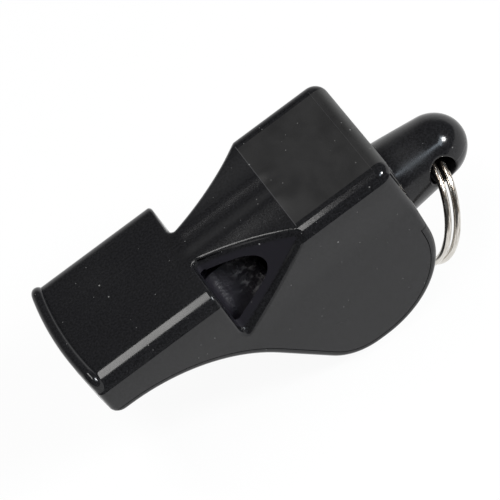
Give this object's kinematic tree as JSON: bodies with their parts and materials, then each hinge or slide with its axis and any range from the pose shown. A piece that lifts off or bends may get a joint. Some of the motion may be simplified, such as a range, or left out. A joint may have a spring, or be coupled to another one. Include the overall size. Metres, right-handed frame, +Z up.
{
  "type": "pealess sports whistle",
  "caption": "Pealess sports whistle: flat-topped body with a wide mouthpiece, sound windows cut into its upper edges, a rounded belly and a rear stem that carries a split ring for a lanyard.",
  "frame": {"origin": "middle of the whole whistle seen from above, at the height of its lowest point", "axes": "+X from the mouthpiece to the stem, +Y across to the left, looking from the mouthpiece to the stem, +Z up through the flat top"},
  "size_m": [0.057, 0.0196, 0.0286],
  "materials": {
    "black_abs": "gloss moulded black, with fine scratches",
    "plated_wire": "nickel-plated steel wire"
  },
  "bodies": {
    "whistle": {"body_shell": "black_abs", "base_cover": "black_abs"},
    "ring": {"split_ring": "plated_wire"}
  },
  "joints": [
    {"name": "ring_swing", "type": "hinge", "parent": "whistle", "child": "ring", "pos_m": [0.023, 0, 0.01468], "axis": [0, -1, 0], "range_deg": [-5, 230]}
  ]
}
